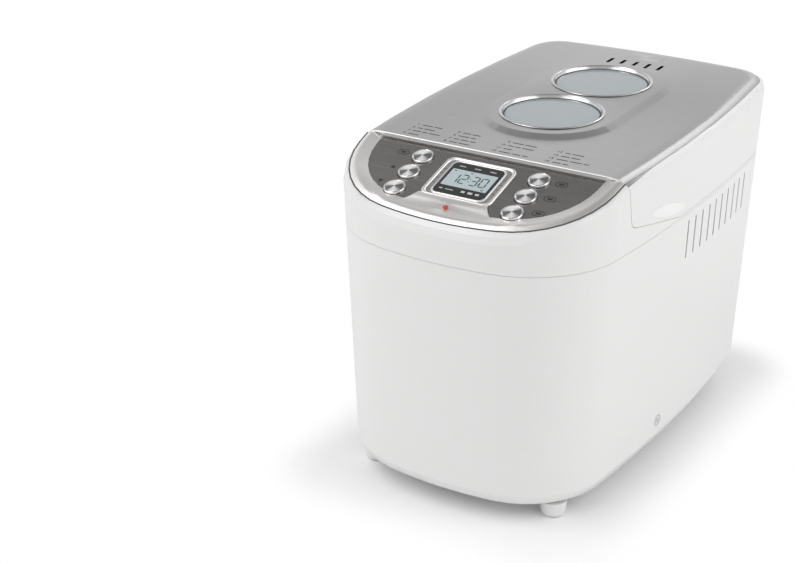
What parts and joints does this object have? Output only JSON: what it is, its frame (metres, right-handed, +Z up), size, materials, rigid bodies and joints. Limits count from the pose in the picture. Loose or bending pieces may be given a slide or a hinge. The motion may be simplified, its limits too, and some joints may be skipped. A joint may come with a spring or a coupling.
{
  "type": "bread machine",
  "caption": "Tall rounded white bread machine with a hinged steel-topped lid, round glass windows, a sloping steel control panel with a display, and a lift-out pan on belt-driven shafts.",
  "frame": {"origin": "centre of the outline, on the surface that the feet stand on", "axes": "+Z up, +Y towards the lid's hinge, -Y towards the control panel, +X to the right of someone who faces the panel"},
  "size_m": [0.2394, 0.3918, 0.2815],
  "materials": {
    "white": "satin moulded white",
    "base_white": "matt moulded white",
    "steel": "brushed",
    "dark_steel": "brushed, darker",
    "chrome": "polished",
    "spun_metal": "spun face",
    "glass": "clear",
    "black": "satin black",
    "lens": "gloss black",
    "display": "pale grey-green display",
    "lamp": "translucent red",
    "board": "green circuit board",
    "coating": "dark non-stick coating",
    "sheet": "plain sheet",
    "liner": "plain sheet",
    "alloy": "cast",
    "copper_tube": "heat-tinted tube",
    "rubber": "matt black",
    "belt": "matt black",
    "silicone": "grey silicone",
    "foot": "pale grey",
    "bronze": "sintered bronze"
  },
  "bodies": {
    "housing": {"lower_housing": "white", "upper_housing": "white", "base_plate": "base_white", "foot_front_left": "foot", "foot_front_right": "foot", "foot_rear_left": "foot", "foot_rear_right": "foot", "display_frame": "steel", "control_panel": "dark_steel", "display_lens": "lens", "lcd_module": "display", "status_lamp": "lamp", "control_board": "board", "power_board": "board", "buzzer": "black", "baking_chamber": "sheet", "heater_clip_left": "sheet", "heater_clip_right": "sheet", "temperature_sensor": "sheet", "pan_clip_left": "sheet", "pan_clip_right": "sheet", "hinge_pin_left": "sheet", "hinge_pin_right": "sheet", "run_capacitor": "sheet", "drive_chassis": "alloy", "motor_bracket": "alloy", "motor": "alloy", "heating_element": "copper_tube", "cord_gland": "rubber", "drive_belt": "belt", "link_belt": "belt", "shaft_bush_front": "bronze", "shaft_bush_rear": "bronze"},
    "lid": {"lid_shell": "white", "lid_plate": "steel", "window_ring_front": "chrome", "window_ring_rear": "chrome", "window_pane_front": "glass", "window_pane_rear": "glass", "lid_liner": "liner", "inner_pane_front": "glass", "inner_pane_rear": "glass", "lid_seal": "silicone"},
    "pan": {"bread_pan": "coating"},
    "handle": {"pan_handle": "sheet"},
    "front_paddle": {"pan_shaft_front": "sheet", "kneading_paddle_front": "coating"},
    "rear_paddle": {"pan_shaft_rear": "sheet", "kneading_paddle_rear": "coating"},
    "front_drive": {"drive_shaft_front": "sheet", "pulley_front": "black"},
    "rear_drive": {"drive_shaft_rear": "sheet", "pulley_rear": "black"},
    "motor_rotor": {"motor_pulley": "sheet"},
    "button_menu_body": {"button_menu": "spun_metal"},
    "button_time_up_body": {"button_time_up": "spun_metal"},
    "button_time_down_body": {"button_time_down": "spun_metal"},
    "button_browning_body": {"button_browning": "spun_metal"},
    "button_loaf_size_body": {"button_loaf_size": "spun_metal"},
    "button_start_stop_body": {"button_start_stop": "spun_metal"}
  },
  "joints": [
    {"name": "lid_hinge", "type": "hinge", "parent": "housing", "child": "lid", "pos_m": [0, 0.1898, 0.2191], "axis": [-1, 0, 0], "range_deg": [0, 80]},
    {"name": "pan_lift", "type": "slide", "parent": "housing", "child": "pan", "axis": [0, 0, 1], "range_m": [0, 0.014]},
    {"name": "handle_swing", "type": "hinge", "parent": "pan", "child": "handle", "pos_m": [0, 0.036, 0.2047], "axis": [0, -1, 0], "range_deg": [0, 30]},
    {"name": "front_drive_turn", "type": "hinge", "parent": "housing", "child": "front_drive", "pos_m": [0, -0.0089, 0.03], "axis": [0, 0, 1], "continuous": true},
    {"name": "rear_drive_turn", "type": "hinge", "parent": "housing", "child": "rear_drive", "pos_m": [0, 0.0809, 0.03], "axis": [0, 0, 1], "continuous": true},
    {"name": "motor_turn", "type": "hinge", "parent": "housing", "child": "motor_rotor", "pos_m": [0, -0.126, 0.03], "axis": [0, 0, 1], "continuous": true},
    {"name": "front_paddle_turn", "type": "hinge", "parent": "pan", "child": "front_paddle", "pos_m": [0, -0.0089, 0.07], "axis": [0, 0, 1], "continuous": true},
    {"name": "rear_paddle_turn", "type": "hinge", "parent": "pan", "child": "rear_paddle", "pos_m": [0, 0.0809, 0.07], "axis": [0, 0, 1], "continuous": true},
    {"name": "menu_press", "type": "slide", "parent": "housing", "child": "button_menu_body", "axis": [0, 0.2957, -0.9553], "range_m": [0, 0.0012], "stiffness_N_per_m": 900, "springref_m": -0.0006},
    {"name": "time_up_press", "type": "slide", "parent": "housing", "child": "button_time_up_body", "axis": [0, 0.2957, -0.9553], "range_m": [0, 0.0012], "stiffness_N_per_m": 900, "springref_m": -0.0006},
    {"name": "time_down_press", "type": "slide", "parent": "housing", "child": "button_time_down_body", "axis": [0, 0.2957, -0.9553], "range_m": [0, 0.0012], "stiffness_N_per_m": 900, "springref_m": -0.0006},
    {"name": "browning_press", "type": "slide", "parent": "housing", "child": "button_browning_body", "axis": [0, 0.2957, -0.9553], "range_m": [0, 0.0012], "stiffness_N_per_m": 900, "springref_m": -0.0006},
    {"name": "loaf_size_press", "type": "slide", "parent": "housing", "child": "button_loaf_size_body", "axis": [0, 0.2957, -0.9553], "range_m": [0, 0.0012], "stiffness_N_per_m": 900, "springref_m": -0.0006},
    {"name": "start_stop_press", "type": "slide", "parent": "housing", "child": "button_start_stop_body", "axis": [0, 0.2957, -0.9553], "range_m": [0, 0.0012], "stiffness_N_per_m": 900, "springref_m": -0.0006}
  ],
  "couplings": [
    {"joint": "rear_drive_turn", "follows": "front_drive_turn", "ratio": 1},
    {"joint": "motor_turn", "follows": "front_drive_turn", "ratio": 4.2778},
    {"joint": "front_paddle_turn", "follows": "front_drive_turn", "ratio": 1},
    {"joint": "rear_paddle_turn", "follows": "front_drive_turn", "ratio": 1}
  ]
}
